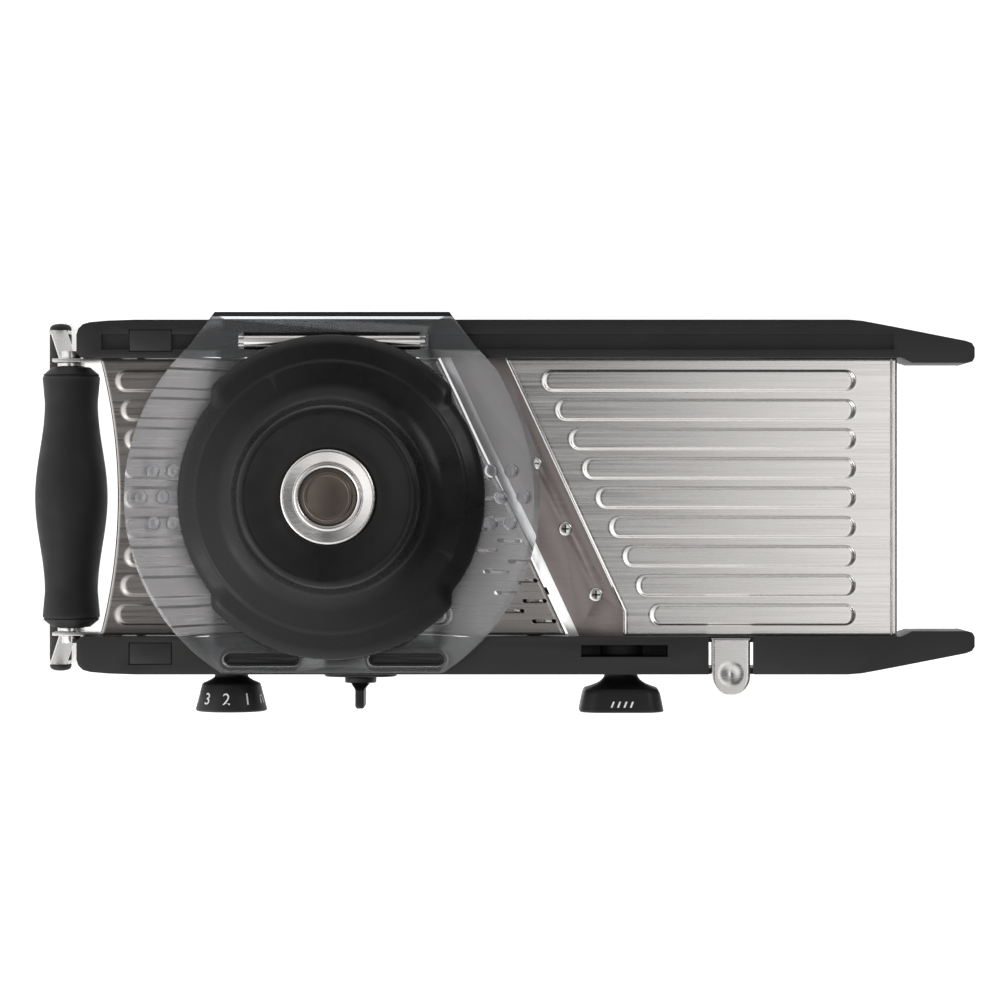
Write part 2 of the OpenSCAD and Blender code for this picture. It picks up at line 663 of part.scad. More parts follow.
to_row() rail_front();
to_row() rail_back();
to_row() panel_front();
to_row() panel_back();
to_row() tip_pad_front();
to_row() tip_pad_back();
to_row() dial_bush();
to_row() selector_bush();
to_row() lock_bush();
to_row() lock_plate();
to_row() tie_left();
to_row() tie_right();
to_row() deck_posts();
to_row() tie_screws();
to_row() landing_deck();
to_row() blade();
to_row() blade_carrier();
to_row() blade_screws();
to_row() grip();
to_row() grip_cap_front();
to_row() grip_cap_back();
to_row() handle_rod();
to_row() handle_nuts();
to_row() bracket_front();
to_row() bracket_back();
to_row() runway();
to_row() runway_lugs();
to_row() runway_pin();
to_row() runway_stiffener_front();
to_row() runway_stiffener_back();
to_row() runway_rider();
to_row() dial_knob();
to_row() dial_shaft();
to_row() dial_cam();
to_row() selector_knob();
to_row() selector_shaft();
to_row() selector_crank();
to_row() comb_frame();
to_row() comb_fine();
to_row() comb_coarse();
to_row() lock_lever();
to_row() lock_shaft();
to_row() release_tab();
to_row() leg_front();
to_row() leg_back();
to_row() foot_rod();
to_row() foot_sleeve();
to_row() foot_caps();
to_row() guard_plate();
to_row() guard_pin();
to_row() guard_glide_left();
to_row() guard_glide_right();
to_row() guard_bumps();
to_row() guard_sleeve();
to_row() dome();
to_row() dome_ring();
to_row() dome_cap();
to_row() pusher();
to_row() prongs();
to_row() plunger_spring();
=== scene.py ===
"""The looks of a mandoline slicer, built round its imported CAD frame."""
import json
import math

import bmesh
import bpy
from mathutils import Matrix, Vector


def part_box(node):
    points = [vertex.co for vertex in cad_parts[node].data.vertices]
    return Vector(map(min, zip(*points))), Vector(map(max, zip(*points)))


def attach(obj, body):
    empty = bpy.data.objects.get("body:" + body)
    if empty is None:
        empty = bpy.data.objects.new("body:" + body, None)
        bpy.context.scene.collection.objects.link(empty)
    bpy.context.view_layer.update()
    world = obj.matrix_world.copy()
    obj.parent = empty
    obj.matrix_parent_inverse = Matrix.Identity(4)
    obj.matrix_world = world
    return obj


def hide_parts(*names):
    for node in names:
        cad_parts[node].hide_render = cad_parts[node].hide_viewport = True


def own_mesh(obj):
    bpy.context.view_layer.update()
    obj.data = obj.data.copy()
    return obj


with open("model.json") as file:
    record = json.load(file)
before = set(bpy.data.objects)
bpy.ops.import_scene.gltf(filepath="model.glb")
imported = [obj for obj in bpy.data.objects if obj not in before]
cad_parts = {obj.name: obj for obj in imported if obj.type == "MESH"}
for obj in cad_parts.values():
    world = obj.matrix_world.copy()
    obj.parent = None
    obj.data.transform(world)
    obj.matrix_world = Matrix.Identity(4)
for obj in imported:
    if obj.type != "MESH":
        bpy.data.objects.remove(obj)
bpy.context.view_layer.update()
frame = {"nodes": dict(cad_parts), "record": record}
MM = 0.001

# The slide's own frame: X 0 and Y 0 at the slide's middle, Z 0 on the landing deck.
RAIL_LO, RAIL_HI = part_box("rail_back")
FRONT_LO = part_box("rail_front")[0]
ORIGIN = Vector((RAIL_LO.x + 187 * MM, (RAIL_HI.y + FRONT_LO.y) / 2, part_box("blade")[1].z))
GUARD = (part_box("guard_sleeve")[0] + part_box("guard_sleeve")[1]) / 2
BLADE_LEAN = math.radians(25)
LEAN = math.tan(BLADE_LEAN)


def at(x, y, z):
    """A point of the slide's frame, in millimetres, as a point of the row frame, in metres."""
    return ORIGIN + Vector((x, y, z)) * MM


# ---- Node helpers ----
GLASS_GREY, GLASS_CLARITY = (0.9, 0.91, 0.93), 0.965


def new_material(name, colour, roughness, metallic=0.0):
    """A Principled material, with its node tree and shader."""
    material = bpy.data.materials.new(name)
    material.use_nodes = True
    shader = material.node_tree.nodes["Principled BSDF"]
    shader.inputs["Base Color"].default_value = (*colour, 1)
    shader.inputs["Roughness"].default_value = roughness
    shader.inputs["Metallic"].default_value = metallic
    return material, material.node_tree, shader


def noise(tree, scale, stretch=(1, 1, 1), detail=4, rough=0.55):
    """Noise in the object's own coordinates, stretched along an axis by a small number there."""
    coords = tree.nodes.new("ShaderNodeTexCoord")
    mapping = tree.nodes.new("ShaderNodeMapping")
    mapping.inputs["Scale"].default_value = stretch
    texture = tree.nodes.new("ShaderNodeTexNoise")
    texture.inputs["Scale"].default_value = scale
    texture.inputs["Detail"].default_value = detail
    texture.inputs["Roughness"].default_value = rough
    tree.links.new(coords.outputs["Object"], mapping.inputs["Vector"])
    tree.links.new(mapping.outputs["Vector"], texture.inputs["Vector"])
    return texture.outputs["Fac"]


def remap(tree, value, low, high, start=0.3, end=0.7):
    """Maps a value's range from start..end to low..high."""
    node = tree.nodes.new("ShaderNodeMapRange")
    node.inputs["From Min"].default_value = start
    node.inputs["From Max"].default_value = end
    node.inputs["To Min"].default_value = low
    node.inputs["To Max"].default_value = high
    tree.links.new(value, node.inputs["Value"])
    return node.outputs["Result"]


def mix(tree, factor, a, b):
    """Mixes two colours by a factor socket."""
    node = tree.nodes.new("ShaderNodeMix")
    node.data_type = "RGBA"
    for name, value in (("A", a), ("B", b)):
        socket = next(s for s in node.inputs if s.name == name and s.type == "RGBA")
        if hasattr(value, "links"):
            tree.links.new(value, socket)
        else:
            socket.default_value = (*value, 1)
    tree.links.new(factor, node.inputs["Factor"])
    return next(s for s in node.outputs if s.type == "RGBA")


def bump(tree, shader, height, distance, strength=1.0):
    """Bumps the shader's normal by a height socket, distance in metres."""
    node = tree.nodes.new("ShaderNodeBump")
    node.inputs["Distance"].default_value = distance
    node.inputs["Strength"].default_value = strength
    tree.links.new(height, node.inputs["Height"])
    tree.links.new(node.outputs["Normal"], shader.inputs["Normal"])


def edge_wear_and_highlight(tree):
    """A mask that is high on convex edges, for edges painted lighter: partly wear, partly painted highlight.
    """
    geometry = tree.nodes.new("ShaderNodeNewGeometry")
    return remap(tree, geometry.outputs["Pointiness"], 0, 1, 0.505, 0.56)


# ---- Materials ----
def plastic(name, dark, light, roughness, grain, depth, sheen=0.28):
    """Moulded plastic: a fine spark grain, faint clouding and convex edges painted lighter, partly as rubbed
    wear and partly as a painted highlight.
    """
    material, tree, shader = new_material(name, dark, roughness)
    shader.inputs["Specular IOR Level"].default_value = sheen
    cloud = mix(tree, remap(tree, noise(tree, 35), 0, 1), dark, light)
    # Convex edges lighter: partly rubbed wear, partly painted highlight.
    worn_and_lit = mix(tree, edge_wear_and_highlight(tree), cloud, tuple(1.8 * c for c in light))
    tree.links.new(worn_and_lit, shader.inputs["Base Color"])
    rough = remap(tree, noise(tree, 120), roughness - 0.06, roughness + 0.07)
    tree.links.new(rough, shader.inputs["Roughness"])
    bump(tree, shader, noise(tree, grain, detail=2), depth)
    return material


def steel(name, dark, light, roughness, stretch, anisotropic=0.8, scratch=0.35):
    """Brushed steel: fine scratches along X in colour, roughness and height, and highlights spread along Y.

    Anisotropic sets how far the highlights spread, and scratch how deep the scratches look."""
    material, tree, shader = new_material(name, dark, roughness, metallic=1.0)
    streaks = noise(tree, 900, stretch, detail=6, rough=0.7)
    tone = mix(tree, remap(tree, streaks, 0, 1), dark, light)
    smear = mix(tree, remap(tree, noise(tree, 14, (1, 2.5, 1)), 0, 0.5), tone, tuple(0.8 * c for c in light))
    tree.links.new(smear, shader.inputs["Base Color"])
    tree.links.new(remap(tree, streaks, roughness - 0.08, roughness + 0.1), shader.inputs["Roughness"])
    shader.inputs["Anisotropic"].default_value = anisotropic
    across = tree.nodes.new("ShaderNodeCombineXYZ")
    across.inputs["Y"].default_value = 1
    tree.links.new(across.outputs["Vector"], shader.inputs["Tangent"])
    bump(tree, shader, streaks, 0.00002, scratch)
    return material


def ground_blade(name):
    """Dark blade steel whose tilted bevel is ground bright."""
    material = steel(name, (0.22, 0.192, 0.186), (0.28, 0.245, 0.236), 0.42, (0.03, 1, 1), 0.5)
    tree = material.node_tree
    shader = tree.nodes["Principled BSDF"]
    split = tree.nodes.new("ShaderNodeSeparateXYZ")
    geometry = tree.nodes.new("ShaderNodeNewGeometry")
    tree.links.new(geometry.outputs["True Normal"], split.inputs["Vector"])
    tilted = remap(tree, split.outputs["Z"], 1, 0, 0.975, 0.985)
    body = shader.inputs["Base Color"].links[0].from_socket
    tree.links.new(mix(tree, tilted, body, (0.97, 0.97, 0.96)), shader.inputs["Base Color"])
    return material


def polished(name, colour, roughness):
    """Plated steel with faint handling smears."""
    material, tree, shader = new_material(name, colour, roughness, metallic=1.0)
    smears = noise(tree, 60, detail=5)
    tree.links.new(remap(tree, smears, roughness - 0.05, roughness + 0.12), shader.inputs["Roughness"])
    tree.links.new(mix(tree, remap(tree, smears, 0, 1), colour, tuple(0.88 * c for c in colour)),
                   shader.inputs["Base Color"])
    bump(tree, shader, noise(tree, 700), 0.00001, 0.2)
    return material


def clear(name):
    """Clear moulded plastic, a little grey, with faint flow waves and fine scratches."""
    material, tree, shader = new_material(name, GLASS_GREY, 0.06)
    shader.inputs["Transmission Weight"].default_value = GLASS_CLARITY
    shader.inputs["IOR"].default_value = 1.58
    shader.inputs["Specular IOR Level"].default_value = 0.8
    tree.links.new(remap(tree, noise(tree, 45), 0.0, 0.035), shader.inputs["Roughness"])
    bump(tree, shader, noise(tree, 28, detail=2), 0.00003, 0.4)
    return material


def smoked_from(material, start):
    """A copy of the clear plastic that turns black where the object's own Y is past a start, in metres."""
    copy = material.copy()
    tree = copy.node_tree
    shader = tree.nodes["Principled BSDF"]
    coords = tree.nodes.new("ShaderNodeTexCoord")
    split = tree.nodes.new("ShaderNodeSeparateXYZ")
    tree.links.new(coords.outputs["Object"], split.inputs["Vector"])
    past = remap(tree, split.outputs["Y"], 0, 1, start, start + 0.0001)
    tree.links.new(remap(tree, past, GLASS_CLARITY, 0, 0, 1), shader.inputs["Transmission Weight"])
    tree.links.new(mix(tree, past, GLASS_GREY, (0.008, 0.008, 0.008)), shader.inputs["Base Color"])
    return copy


def paint(name, colour):
    """Pad-printed white ink with slightly uneven cover."""
    material, tree, shader = new_material(name, colour, 0.5)
    tree.links.new(mix(tree, remap(tree, noise(tree, 400), 0, 1), colour, tuple(0.82 * c for c in colour)),
                   shader.inputs["Base Color"])
    bump(tree, shader, noise(tree, 900), 0.00001, 0.3)
    return material


MATERIALS = {
    "rail_plastic": plastic("rail_plastic", (0.0072, 0.0070, 0.0070), (0.0125, 0.0122, 0.012),
                            0.46, 2600, 0.00003),
    "inner_plastic": plastic("inner_plastic", (0.012, 0.012, 0.0125), (0.02, 0.02, 0.02),
                             0.55, 1800, 0.00003),
    "rubber": plastic("rubber", (0.006, 0.006, 0.006), (0.0115, 0.011, 0.0108), 0.6, 3200, 0.00002),
    "brushed_steel": steel("brushed_steel", (0.56, 0.545, 0.53), (0.7, 0.68, 0.665), 0.24, (0.012, 1, 1)),
    "blade_steel": ground_blade("blade_steel"),
    "bright_steel": polished("bright_steel", (0.62, 0.61, 0.595), 0.2),
    "clear_plastic": clear("clear_plastic"),
    "dome_plastic": plastic("dome_plastic", (0.0062, 0.0059, 0.0058), (0.0105, 0.01, 0.0098),
                            0.3, 3000, 0.00001, 0.22),
    "cap_metal": polished("cap_metal", (0.13, 0.11, 0.095), 0.36),
}
# The runway's steel is a darker copy of the landing deck's brushed steel: its darker tone is painted shade.
RUNWAY_STEEL_SHADED = steel("runway_steel_shaded", (0.36, 0.335, 0.32), (0.42, 0.395, 0.38), 0.3, (0.012, 1, 1), 0.8, 0.12)
# Near-black plastic for the screws' crosses: painted shade standing in for their recesses.
RECESS_SHADE = plastic("recess", (0.006, 0.006, 0.006), (0.01, 0.01, 0.01), 0.6, 1800, 0.00002)
INK = paint("ink", (0.85, 0.85, 0.84))
SLOT_OF = {s["node"]: s["material_slot"] for s in frame["record"]["subparts"]}


# ---- Shape helpers ----
def smooth(piece, angle=35):
    """Smooth shading, except across edges sharper than the angle."""
    for polygon in piece.data.polygons:
        polygon.use_smooth = True
    with bpy.context.temp_override(object=piece, active_object=piece, selected_objects=[piece],
                                   selected_editable_objects=[piece]):
        bpy.context.view_layer.objects.active = piece
        bpy.ops.object.shade_auto_smooth(angle=math.radians(angle))


def make_piece(name, build, body, slot, nodes=(), material=None):
    """Builds a mesh piece with build(bmesh), places it on a body and stands it for CAD nodes."""
    mesh = bpy.data.meshes.new(name)
    bm = bmesh.new()
    build(bm)
    bmesh.ops.recalc_face_normals(bm, faces=bm.faces)
    bm.to_mesh(mesh)
    bm.free()
    piece = bpy.data.objects.new(name, mesh)
    bpy.context.scene.collection.objects.link(piece)
    mesh.materials.append(material or MATERIALS[slot])
    smooth(piece)
    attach(piece, body)
    if nodes:
        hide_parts(*nodes)
    return piece


def smoothstep(t):
    """0 below 0, 1 above 1, and a smooth rise between."""
    t = max(0.0, min(1.0, t))
    return t * t * (3 - 2 * t)


def edge_at(y):
    """X of the blade's cutting edge at a Y, in millimetres."""
    return 29.2 - (y + 61.2) * LEAN


# The blade's depth along X, and its sheet's thickness
BLADE_DEPTH, SHEET = 26.2 / math.cos(BLADE_LEAN), 1.2


def lathe(bm, profile, centre, steps, radius_scale=None):
    """Turns a closed profile of (radius, height) points round Z. radius_scale may move a point."""
    rings = []
    for step in range(steps):
        angle = 2 * math.pi * step / steps
        ring = []
        for r, h in profile:
            r = radius_scale(angle, r, h) if radius_scale else r
            ring.append(bm.verts.new(centre + Vector((r * math.cos(angle), r * math.sin(angle), h)) * MM))
        rings.append(ring)
    for i in range(steps):
        a, b = rings[i], rings[(i + 1) % steps]
        for j in range(len(profile)):
            k = (j + 1) % len(profile)
            bm.faces.new((a[j], b[j], b[k], a[k]))


def rounded(points, radius, steps=3):
    """A closed outline with its corners rounded, where there is room."""
    out = []
    count = len(points)
    for i, p in enumerate(points):
        p = Vector(p)
        before, after = Vector(points[i - 1]), Vector(points[(i + 1) % count])
        room = min((before - p).length, (after - p).length) * 0.4
        cut = min(radius, room)
        start = p + (before - p).normalized() * cut
        end = p + (after - p).normalized() * cut
        for k in range(steps + 1):
            t = k / steps
            out.append(tuple((1 - t) ** 2 * start + 2 * t * (1 - t) * p + t * t * end))
    return out


# ---- Decks ----
RIB_PITCH, RIB_H, RIB_HALF, FIRST_RIB = 12.87, 1.0, 4.75, 51.2
DECK_END, DECK_HALF, RUNWAY_HALF, RUNWAY_Z = 173.4, 61.1, 60.8, -2.4
HEM_SEAM = DECK_END - 2.5
HOLLOW_X, HOLLOW_R = -413.8, 244     # centre and radius of the runway's hollow end


def rib_height(x, y, span_of, height):
    """Height of the pressed ribs at a point: each is a flat-topped bead with round ends."""
    i = round((FIRST_RIB - y) / RIB_PITCH)
    if not 0 <= i <= 8:
        return 0.0
    centre = FIRST_RIB - RIB_PITCH * i
    start, end = span_of(i, centre)
    along = max(start + RIB_HALF - x, 0, x - end + RIB_HALF)
    distance = max(math.hypot(along, y - centre), 0.001)
    slope = 0.95 + 1.15 * (along / distance) ** 2
    return height * smoothstep((RIB_HALF - distance) / slope)


def close_sheet(bm, top, under):
    """Fills two grids of points and joins them round their edges."""
    rows, columns = len(top) - 1, len(top[0]) - 1
    for grid in (top, under):
        for j in range(rows):
            for i in range(columns):
                bm.faces.new((grid[j][i], grid[j][i + 1], grid[j + 1][i + 1], grid[j + 1][i]))
    for i in range(columns):
        for j in (0, rows):
            bm.faces.new((top[j][i], top[j][i + 1], under[j][i + 1], under[j][i]))
    for j in range(rows):
        for i in (0, columns):
            bm.faces.new((top[j][i], top[j + 1][i], under[j + 1][i], under[j][i]))


def deck_grid(bm, left, right, half, z, span_of, places, rows, seam=None):
    """A closed sheet between two side curves, with ribs pressed up out of its top and a seam pressed in."""
    top, under = [], []
    for j in range(rows + 1):
        y = -half + 2 * half * j / rows
        edge = half - abs(y)
        roll = 0.5 * (1 - smoothstep(edge / 1.0))
        row_top, row_under = [], []
        for i, t in enumerate(places):
            x = left(y) + (right(y) - left(y)) * t
            lip = 0.45 * (1 - smoothstep(min(x - left(y), right(y) - x) / 0.9))
            h = rib_height(x, y, span_of, RIB_H)
            if seam is not None:
                lip = max(lip, 0.9 * (1 - smoothstep((abs(x - seam) - 0.25) / 0.2)))
            row_top.append(bm.verts.new(at(x, y, z + h - max(roll, lip))))
            row_under.append(bm.verts.new(at(x, y, z - SHEET + 0.9 * h)))
        top.append(row_top)
        under.append(row_under)
    close_sheet(bm, top, under)


def landing_left(y):
    """Left edge of the landing deck: along the blade, then square to the rail."""
    return edge_at(max(y, -50.2)) + BLADE_DEPTH + 0.4


def build_landing(bm):
    places = [0.96 * k / 210 for k in range(210)] + [0.96 + 0.04 * k / 46 for k in range(47)]
    deck_grid(bm, landing_left, lambda y: DECK_END, DECK_HALF, 0,
              lambda i, y: (17.1 + 5.92 * i, 155.3), places, 330, HEM_SEAM)
    # hem and side flanges, turned down
    inner, outer, side = DECK_END - SHEET, DECK_END - 0.1, DECK_HALF - 0.1
    prism(bm, [(inner, -side), (outer, -side), (outer, side), (inner, side)], -8, -1.1)
    for low in (-side, side - 1.1):
        prism(bm, [(116, low), (inner - 0.1, low), (inner - 0.1, low + 1.1), (116, low + 1.1)], -8, -1.1)


def hollow_end(y):
    """X of the runway's hollow left end at a Y."""
    return HOLLOW_X + math.sqrt(HOLLOW_R ** 2 - y * y)


def build_runway(bm):
    deck_grid(bm, hollow_end, lambda y: edge_at(y) - 1.1, RUNWAY_HALF, RUNWAY_Z,
              lambda i, y: (hollow_end(y) + 4.5, edge_at(y) - 48), [k / 190 for k in range(191)], 330)


def prism(bm, outline, z0, z1):
    """A closed upright prism of an outline in millimetres of the slide's frame."""
    low = [bm.verts.new(at(x, y, z0)) for x, y in outline]
    high = [bm.verts.new(at(x, y, z1)) for x, y in outline]
    bm.faces.new(low)
    bm.faces.new(high)
    for i in range(len(outline)):
        k = (i + 1) % len(outline)
        bm.faces.new((low[i], low[k], high[k], high[i]))


def stadium(x, y, length, width, steps=8):
    """The outline of a slot with round ends."""
    half, r = length / 2 - width / 2, width / 2
    turn = [math.pi * k / steps - math.pi / 2 for k in range(steps + 1)]
    return ([(x + half + r * math.cos(a), y + r * math.sin(a)) for a in turn]
            + [(x - half - r * math.cos(a), y - r * math.sin(a)) for a in turn])


def cut(piece, build):
    """Takes the shapes that build(bmesh) makes out of a piece."""
    mesh = bpy.data.meshes.new("cutter")
    bm = bmesh.new()
    build(bm)
    bmesh.ops.recalc_face_normals(bm, faces=bm.faces)
    bm.to_mesh(mesh)
    bm.free()
    cutter = bpy.data.objects.new("cutter", mesh)
    bpy.context.scene.collection.objects.link(cutter)
    modifier = piece.modifiers.new("cut", "BOOLEAN")
    modifier.object = cutter
    modifier.solver = "EXACT"
    piece.modifiers.move(len(piece.modifiers) - 1, 0)
    with bpy.context.temp_override(object=piece, active_object=piece):
        bpy.ops.object.modifier_apply(modifier="cut")
    bpy.data.objects.remove(cutter)


def julienne_slots(bm):
    for behind, first, count in ((8, -54.8, 13), (20, -50.2, 12)):
        for k in range(count):
            y = first + 9 * k
            prism(bm, stadium(edge_at(y) - behind, y, 10.6, 1.8), -8, 2)


# ---- Plunger's dome ----
DOME_PROFILE = rounded([
    (71, 12.5), (71, 15.4), (67.6, 18.2), (60, 20.2), (58.6, 21.2), (48, 24.6), (42.6, 28.6), (40.2, 34),
    (39.6, 44.6), (38.4, 47.2), (36, 48), (33, 47.4), (26, 45.9), (20.5, 45), (20.5, 43), (34, 43),
    (36.4, 41), (36.4, 30), (44, 21.4), (57.6, 17.6), (65.6, 15.5), (68.6, 12.5)], 2.2, 4)


def dome_scale(angle, r, h):
    """The dome's rim is 4 mm narrower towards the ends of the slide, with a soft step to its long arcs."""
    off_axis = math.degrees(math.asin(min(1.0, abs(math.sin(angle)))))
    narrow = 1 - smoothstep((off_axis - 37.5) / 6)
    outer = smoothstep((r - 59) / 9)
    return r - 3.9 * narrow * outer


def guard_centre():
    return Vector((GUARD.x, GUARD.y, ORIGIN.z))


def build_dome(bm):
    lathe(bm, DOME_PROFILE, guard_centre(), 288, dome_scale)


def build_dome_ring(bm):
    profile = rounded([
        (20.4, 43), (20.4, 46.6), (19.4, 47.2), (14.8, 45.6), (13.6, 46.2), (12.4, 45.6), (12.2, 43)], 0.9, 4)
    lathe(bm, profile, guard_centre(), 128)


def build_grip(bm):
    """The grip's peanut shape about an axis along Y, with a moulded collar at each end."""
    low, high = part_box("grip")
    centre = (low + high) / 2
    count, half = 96, 54.0
    rings = []
    outline = [(0.0, -half)]
    for i in range(count + 1):
        y = -half + 2 * half * i / count
        t = abs(y) / 42
        r = 11.7 + 4.3 * (0.5 + 0.5 * math.cos(math.pi * t)) if t < 1 else 11.7 + 1.1 * (t - 1) / 0.29
        end = (half - abs(y)) / 1.2
        outline.append((r - (0.9 * (1 - min(1, end)) ** 2), y))
    outline.append((0.0, half))
    steps = 96
    for r, y in outline:
        turns = [2 * math.pi * k / steps for k in range(steps if r > 0 else 1)]
        rings.append([bm.verts.new(centre + Vector((r * math.cos(a), y, r * math.sin(a))) * MM)
                      for a in turns])
    join_rings(bm, rings, steps)


def build_tab(bm):
    """The release tab: a flat steel tongue with a thumb dimple and a soft edge."""
    columns, rows = 34, 52
    x_mid, y_in, y_end, half = 100.0, -62.0, -87.1, 8.5
    top, under = [], []
    for j in range(rows + 1):
        y = y_in + (y_end - y_in) * j / rows
        past = max(0.0, -78.6 - y)
        width = math.sqrt(max(half * half - past * past, 0.01))
        row_top, row_under = [], []
        for i in range(columns + 1):
            x = x_mid + width * (2 * i / columns - 1)
            dish = 1.05 * (1 - smoothstep(math.hypot(x - x_mid, y + 77.6) / 5.6))
            rim = min(width - abs(x - x_mid), abs(y - y_in), math.hypot(0, y - y_end) + 0.2)
            edge = 0.4 * (1 - smoothstep(rim / 0.8))
            row_top.append(bm.verts.new(at(x, y, 3.7 - dish - edge)))
            row_under.append(bm.verts.new(at(x, y, 2.3 - 0.9 * dish)))
        top.append(row_top)
        under.append(row_under)
    close_sheet(bm, top, under)


# ---- Knobs ----
DIAL_X, SELECTOR_X, AXLE_Z = -120.6, 52.4, -15.0
# Radius of the thickness dial at distances in front of the slide's middle
DIAL_PROFILE = rounded([
    (0, 78.2), (7.4, 78.2), (7.4, 79.8), (9.4, 81.1), (12.9, 82.6), (15.9, 94.2), (15.2, 94.9), (0, 94.9)],
    0.7, 3)


def turned(bm, profile, x, z, steps=128):
    """Turns an open profile of (radius, distance to the front) round an axis along Y."""
    rings = []
    for r, y in profile:
        count = steps if r > 0.01 else 1
        rings.append([bm.verts.new(at(x + r * math.cos(2 * math.pi * k / steps), -y,
                                      z + r * math.sin(2 * math.pi * k / steps))) for k in range(count)])
    join_rings(bm, rings, steps)


def join_rings(bm, rings, steps):
    """Fills between closed rings of points, where a ring may be a single point."""
    for a, b in zip(rings, rings[1:]):
        for k in range(steps):
            m = (k + 1) % steps
            corners = [a[k % len(a)], a[m % len(a)], b[m % len(b)], b[k % len(b)]]
            face = [v for i, v in enumerate(corners) if v not in corners[:i]]
            if len(face) > 2:
                bm.faces.new(face)


def build_dial(bm):
    profile = [p for p in DIAL_PROFILE if p[0] > 0.3]
    turned(bm, [(0, 78.2)] + profile + [(0, 94.9)], DIAL_X, AXLE_Z)


def selector_section(y):
    """Half width and squareness of the selector's knob at a distance in front of the slide's middle."""
    if y < 84.8:
        t = (y - 78.2) / 6.6
        return 7.3 + 9.1 * t ** 2.3, smoothstep((t - 0.25) / 0.75)
    return 16.4 + 2.2 * ((y - 84.8) / 9.6) ** 0.8, 1.0


def build_selector(bm):
    """A flared neck that turns into a block with cut corners and soft edges."""
    steps, rings = 160, []
    neck = [78.2 + 6.6 * k / 16 for k in range(16)]
    block = [84.8 + 9.6 * k / 16 for k in range(17)]
    for y in neck + block + [94.7, 94.9]:
        half, square = selector_section(min(y, 94.4))
        half -= 0.9 * max(0, (y - 94.4) / 0.5) ** 2
        soft = smoothstep(min(abs(y - 84.8) / 1.6, 1))
        half -= 0.35 * (1 - soft)
        ring = []
        for k in range(steps):
            a = 2 * math.pi * k / steps
            c, s = abs(math.cos(a)), abs(math.sin(a))
            flat = half / max(c, s)
            corner = 1.72 * half / (c + s)
            blunt = (flat ** -24 + corner ** -24) ** (-1 / 24)
            r = half * (1 - square) + blunt * square
            ring.append(bm.verts.new(at(SELECTOR_X + r * math.cos(a), -y, AXLE_Z + r * math.sin(a))))
        rings.append(ring)
    rings.insert(0, [bm.verts.new(at(SELECTOR_X, -78.2, AXLE_Z))])
    rings.append([bm.verts.new(at(SELECTOR_X, -94.9, AXLE_Z))])
    join_rings(bm, rings, steps)


def build_lock(bm):
    """The lock's flag: a boss and an upright fin that flares where they meet."""
    x0, z0 = -63.2, AXLE_Z
    turned(bm, [(0, 79.9), (6.6, 79.9), (7, 80.3), (7, 82), (6.6, 82.4), (0, 82.4)], x0, z0, 96)
    rings = []
    outline = [(math.cos(2 * math.pi * k / 64), math.sin(2 * math.pi * k / 64)) for k in range(64)]
    for k in range(15):
        y = 82.3 + 11.1 * k / 14
        foot = 1 - smoothstep((y - 82.3) / 3.2)
        tip = max(0, (y - 92.2) / 1.2)
        half_x = 2.2 + 1.9 * foot - 0.6 * tip ** 2
        half_z = 11 - 0.5 * tip ** 2 - 4.4 * foot
        rings.append([bm.verts.new(at(x0 + half_x * math.copysign(abs(c) ** 0.35, c), -y,
                                      z0 + half_z * math.copysign(abs(s) ** 0.35, s))) for c, s in outline])
    rings.insert(0, [bm.verts.new(at(x0, -82.3, z0))])
    rings.append([bm.verts.new(at(x0, -93.4, z0))])
    join_rings(bm, rings, 64)


def ink(name, place, body, slot, outlines):
    """A thin printed mark. Each outline, in its own flat millimetres, is laid on by place(u, v, lift)."""
    def build(bm):
        for outline in outlines:
            under = [bm.verts.new(place(u, v, -0.05)) for u, v in outline]
            over = [bm.verts.new(place(u, v, 0.05)) for u, v in outline]
            bm.faces.new(under)
            bm.faces.new(over)
            for i in range(len(outline)):
                k = (i + 1) % len(outline)
                bm.faces.new((under[i], under[k], over[k], over[i]))
    return make_piece(name, build, body, slot, material=INK)


def on_dial(angle):
    """Lays a mark on the dial's cone, at an angle round it from straight up, upright towards the slide."""
    def place(u, v, lift):
        y = 89.0 - v
        r = 12.9 + (y - 82.6) * 3.0 / 11.6 + lift
        a = math.radians(90 - angle) + -u / 14.5
        return at(DIAL_X + r * math.cos(a), -y, AXLE_Z + r * math.sin(a))
    return place


def numeral_outlines(digit, height):
    """Quads of one numeral from the built-in font, centred, in millimetres."""
    curve = bpy.data.curves.new("numeral", "FONT")
    curve.body = digit
    curve.resolution_u = 6
    holder = bpy.data.objects.new("numeral", curve)
    bpy.context.scene.collection.objects.link(holder)
    bpy.context.view_layer.update()
    mesh = bpy.data.meshes.new_from_object(holder)
    points = [v.co.copy() for v in mesh.vertices]
    low = Vector((min(p.x for p in points), min(p.y for p in points)))
    high = Vector((max(p.x for p in points), max(p.y for p in points)))
    scale, centre = height / (high.y - low.y), (low + high) / 2
    faces = [[((points[i].x - centre.x) * scale, (points[i].y - centre.y) * scale) for i in polygon.vertices]
             for polygon in mesh.polygons]
    bpy.data.objects.remove(holder)
    bpy.data.meshes.remove(mesh)
    return faces


def padlock_outlines():
    """A small padlock: a body and a shackle."""
    body = [(-1.5, -2.2), (1.5, -2.2), (1.5, 0.2), (-1.5, 0.2)]
    outlines = [body]
    for k in range(8):
        a, b = math.pi * k / 8, math.pi * (k + 1) / 8
        corners = ((0.75, a), (1.2, a), (1.2, b), (0.75, b))
        outlines.append([(r * math.cos(t), 0.5 + r * math.sin(t)) for r, t in corners])
    return outlines


def on_selector(u, v, lift):
    """Lays a mark on the upper face of the selector's knob."""
    y = 91.2 - v
    return at(SELECTOR_X + u, -y, AXLE_Z + selector_section(y)[0] + lift)


def slanted_bar(u):
    """One stroke of the selector's mark."""
    return [(u - 0.9, -1.3), (u - 0.1, -1.3), (u + 0.9, 1.3), (u + 0.1, 1.3)]


